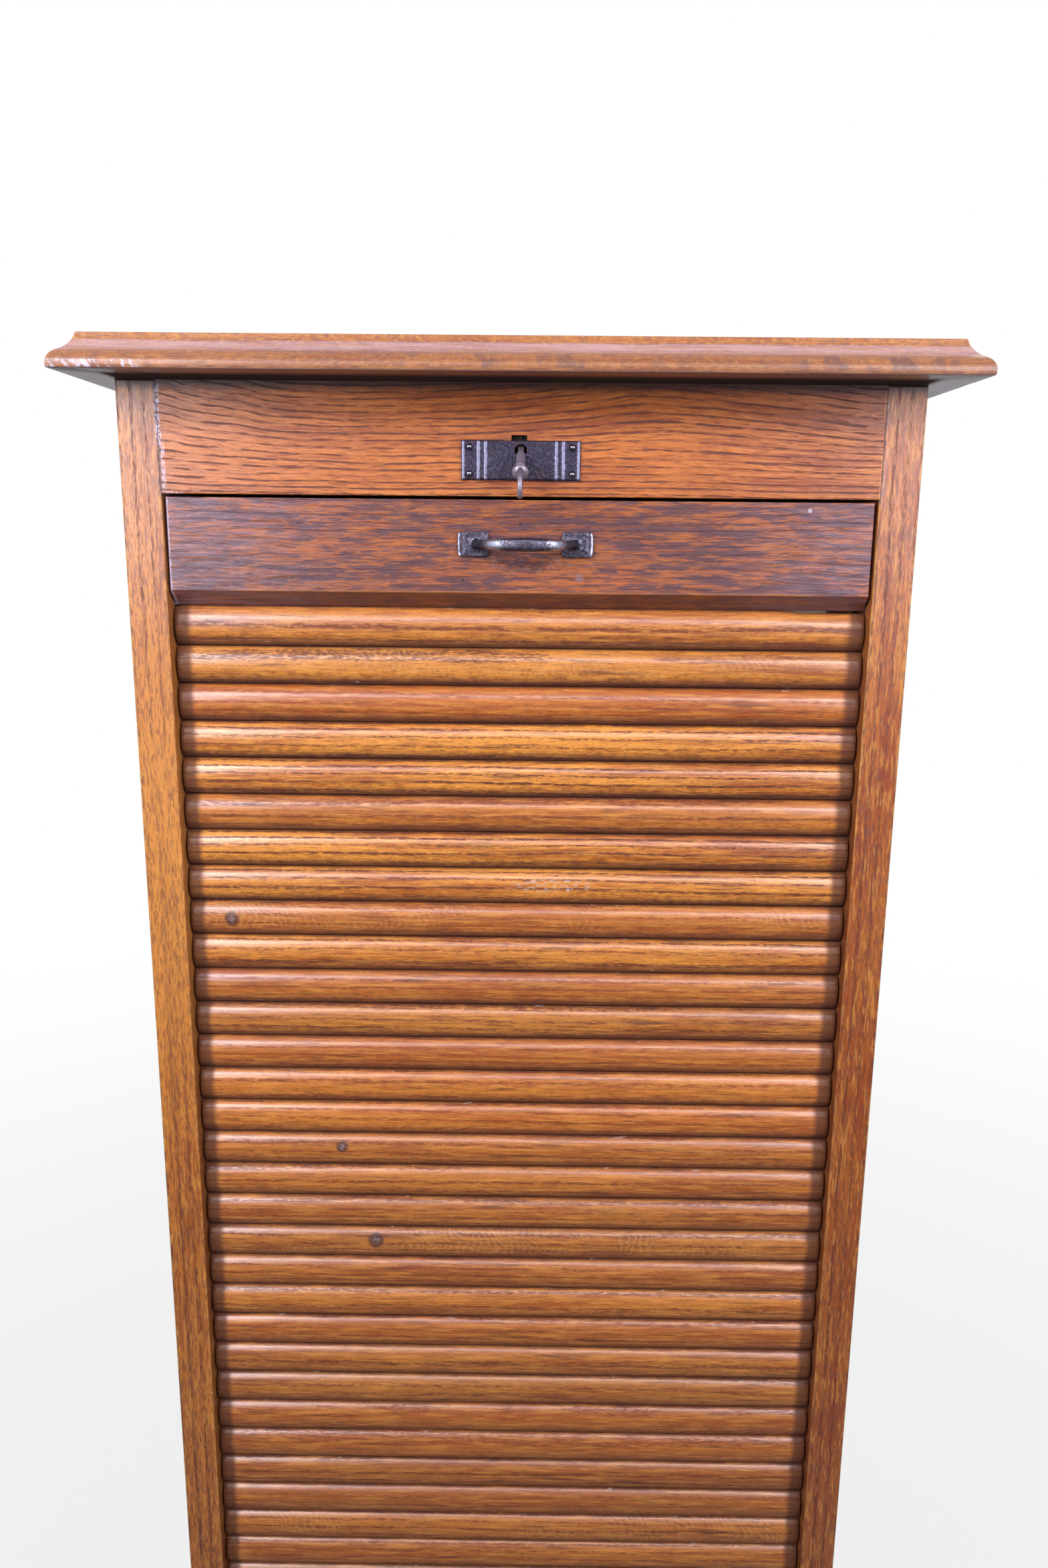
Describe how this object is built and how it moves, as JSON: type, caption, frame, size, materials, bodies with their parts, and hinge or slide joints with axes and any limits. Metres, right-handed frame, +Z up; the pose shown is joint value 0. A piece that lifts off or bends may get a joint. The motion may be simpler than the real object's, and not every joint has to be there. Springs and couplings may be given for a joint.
{
  "type": "roll front tool cabinet",
  "caption": "Tall oak cabinet: slatted roll front sliding down behind a plinth, lock rail with key plate and hanging key, bow handle, panelled sides, moulded top, pull-out trays.",
  "frame": {"origin": "middle of the footprint of the whole object, on the floor", "axes": "+Z up, -Y towards the person in front of the roll front, +X to their right"},
  "size_m": [0.5008, 0.4316, 1.22],
  "materials": {
    "oak_top": "varnished oak, moulded edge",
    "oak_frame": "varnished oak, golden orange",
    "oak_lead_rail": "varnished oak, darkened by handling",
    "oak_slats": "varnished oak, half-round slats",
    "oak_trays": "waxed oak, pale",
    "pine_inner": "plain planed softwood",
    "plywood_back": "stained plywood",
    "dark_iron": "hammered, worn bright on its ribs",
    "antique_iron": "antique bronze-brown, polished by the hand",
    "bright_steel": "nickelled, a little dull",
    "lock_steel": "plain sheet steel",
    "lock_brass": "cast brass",
    "screw_steel": "dull",
    "canvas": "glued linen canvas"
  },
  "bodies": {
    "cabinet": {"top_board": "oak_top", "left_front_stile": "oak_frame", "right_front_stile": "oak_frame", "left_back_stile": "oak_frame", "right_back_stile": "oak_frame", "left_side_rails": "oak_frame", "right_side_rails": "oak_frame", "left_side_panels": "oak_frame", "right_side_panels": "oak_frame", "lock_rail": "oak_frame", "plinth_front": "oak_frame", "plinth_sides": "oak_frame", "back_panel": "plywood_back", "back_top_rail": "pine_inner", "inner_back": "plywood_back", "inner_back_cleats": "pine_inner", "bottom_board": "pine_inner", "bottom_cleats": "pine_inner", "top_cleats": "pine_inner", "shutter_stops": "pine_inner", "left_tray_runners": "oak_trays", "right_tray_runners": "oak_trays", "runner_screws": "screw_steel", "back_screws": "screw_steel", "top_screws": "screw_steel", "lock_screws": "screw_steel", "lock_case": "lock_steel", "lock_cover": "lock_steel", "key_plate": "dark_iron", "key_plate_pins": "bright_steel", "tambour_slats": "oak_slats", "tambour_canvas": "canvas"},
    "shutter": {"lead_rail": "oak_lead_rail", "handle": "antique_iron", "handle_screws": "screw_steel", "keeper_plate": "lock_brass", "keeper_screws": "screw_steel"},
    "lock_bolt": {"lock_spindle": "lock_brass", "swing_bolt": "lock_brass"},
    "key": {"key": "bright_steel"},
    "tray_1": {"tray_1": "oak_trays"},
    "tray_2": {"tray_2": "oak_trays"},
    "tray_3": {"tray_3": "oak_trays"},
    "tray_4": {"tray_4": "oak_trays"},
    "tray_5": {"tray_5": "oak_trays"},
    "tray_6": {"tray_6": "oak_trays"},
    "tray_7": {"tray_7": "oak_trays"},
    "tray_8": {"tray_8": "oak_trays"}
  },
  "joints": [
    {"name": "shutter_slide", "type": "slide", "parent": "cabinet", "child": "shutter", "axis": [0, 0, -1], "range_m": [0, 1], "deforming": ["tambour_slats", "tambour_canvas"]},
    {"name": "bolt_turn", "type": "hinge", "parent": "cabinet", "child": "lock_bolt", "pos_m": [0.0006, -0.1594, 1.1629], "axis": [0, -1, 0], "range_deg": [0, 43]},
    {"name": "key_lift", "type": "hinge", "parent": "cabinet", "child": "key", "pos_m": [0.0006, -0.1717, 1.15956], "axis": [-1, 0, 0], "range_deg": [0, 35]},
    {"name": "tray_1_slide", "type": "slide", "parent": "cabinet", "child": "tray_1", "axis": [0, -1, 0], "range_m": [0, 0.012]},
    {"name": "tray_2_slide", "type": "slide", "parent": "cabinet", "child": "tray_2", "axis": [0, -1, 0], "range_m": [0, 0.012]},
    {"name": "tray_3_slide", "type": "slide", "parent": "cabinet", "child": "tray_3", "axis": [0, -1, 0], "range_m": [0, 0.012]},
    {"name": "tray_4_slide", "type": "slide", "parent": "cabinet", "child": "tray_4", "axis": [0, -1, 0], "range_m": [0, 0.012]},
    {"name": "tray_5_slide", "type": "slide", "parent": "cabinet", "child": "tray_5", "axis": [0, -1, 0], "range_m": [0, 0.012]},
    {"name": "tray_6_slide", "type": "slide", "parent": "cabinet", "child": "tray_6", "axis": [0, -1, 0], "range_m": [0, 0.012]},
    {"name": "tray_7_slide", "type": "slide", "parent": "cabinet", "child": "tray_7", "axis": [0, -1, 0], "range_m": [0, 0.012]},
    {"name": "tray_8_slide", "type": "slide", "parent": "cabinet", "child": "tray_8", "axis": [0, -1, 0], "range_m": [0, 0.012]}
  ]
}
